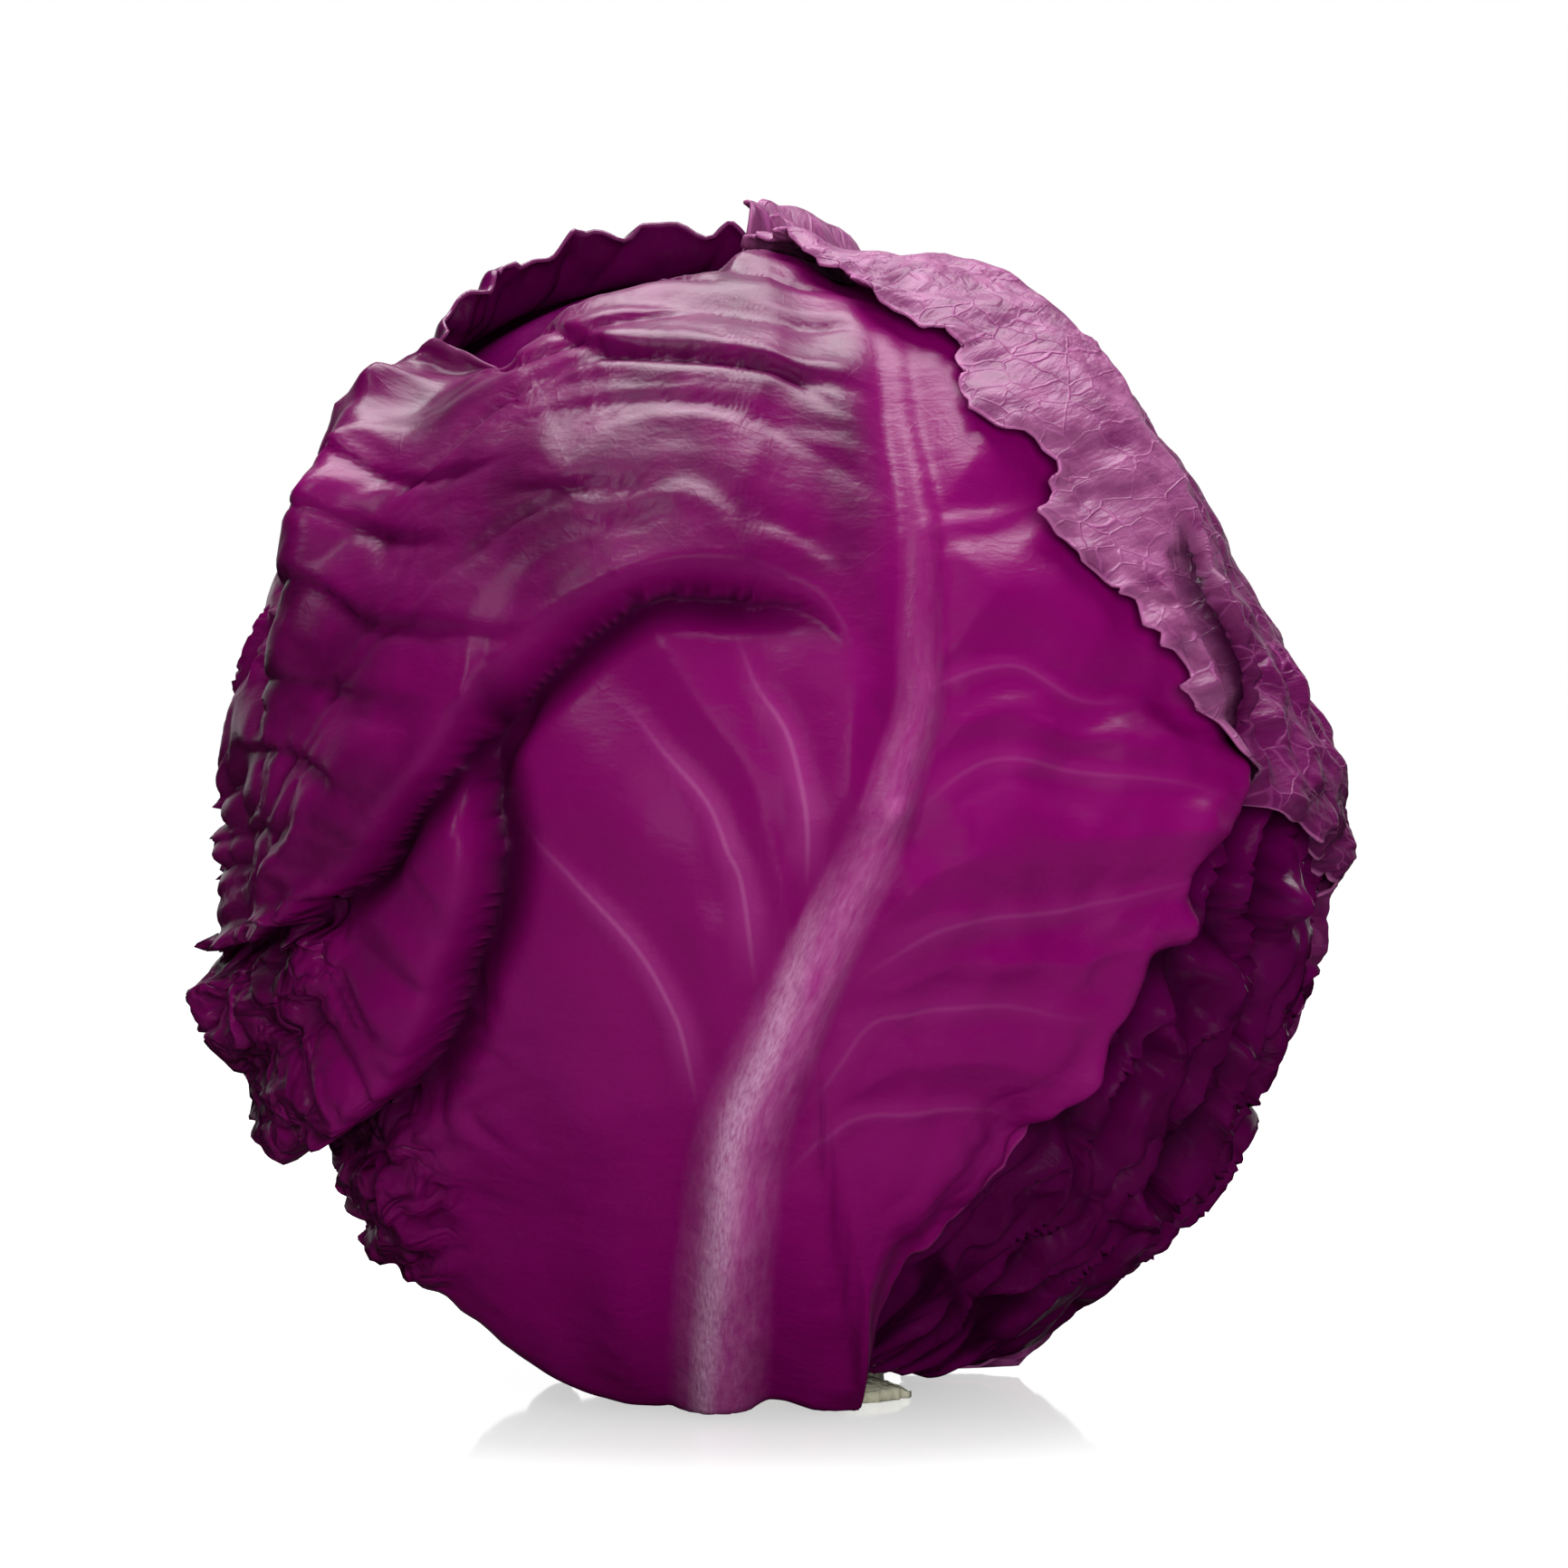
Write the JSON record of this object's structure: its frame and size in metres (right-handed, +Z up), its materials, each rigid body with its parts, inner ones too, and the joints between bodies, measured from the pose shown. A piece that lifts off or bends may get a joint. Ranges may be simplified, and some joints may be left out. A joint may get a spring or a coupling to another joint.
{
  "type": "red cabbage head",
  "caption": "Round red cabbage head: a tight heart wrapped in overlapping outer leaves with raised midribs and crinkled margins, standing upright on its cut stem.",
  "frame": {"origin": "centre of the cut face under the stem, on the surface the head stands on", "axes": "+Z up from the cut stem to the top of the head; the broad front leaf, whose midrib shows, faces -Y; +X is to the right seen from the front"},
  "size_m": [0.1603, 0.1636, 0.1666],
  "materials": {
    "outer_leaf": "fresh red cabbage leaf, deep magenta purple with a satin waxy bloom and paler veins",
    "shoulder_leaf": "dry outermost leaf, dusty pink purple, matt, with a fine net of veins",
    "inner_leaf": "inner red cabbage leaf, dark purple, satin",
    "heart": "tight inner leaves, dark purple, satin",
    "stem": "cut stem flesh, pale greenish white, matt and moist"
  },
  "bodies": {
    "root": {"heart": "heart", "stem": "stem", "leaf_stub_1": "stem", "leaf_stub_2": "stem", "leaf_stub_3": "stem", "inner_leaf_1": "inner_leaf", "inner_leaf_2": "inner_leaf", "inner_leaf_3": "inner_leaf", "left_leaf": "outer_leaf", "crown_leaf": "outer_leaf", "right_leaf": "outer_leaf", "back_leaf": "outer_leaf", "front_leaf": "outer_leaf", "shoulder_leaf": "shoulder_leaf"}
  },
  "joints": []
}
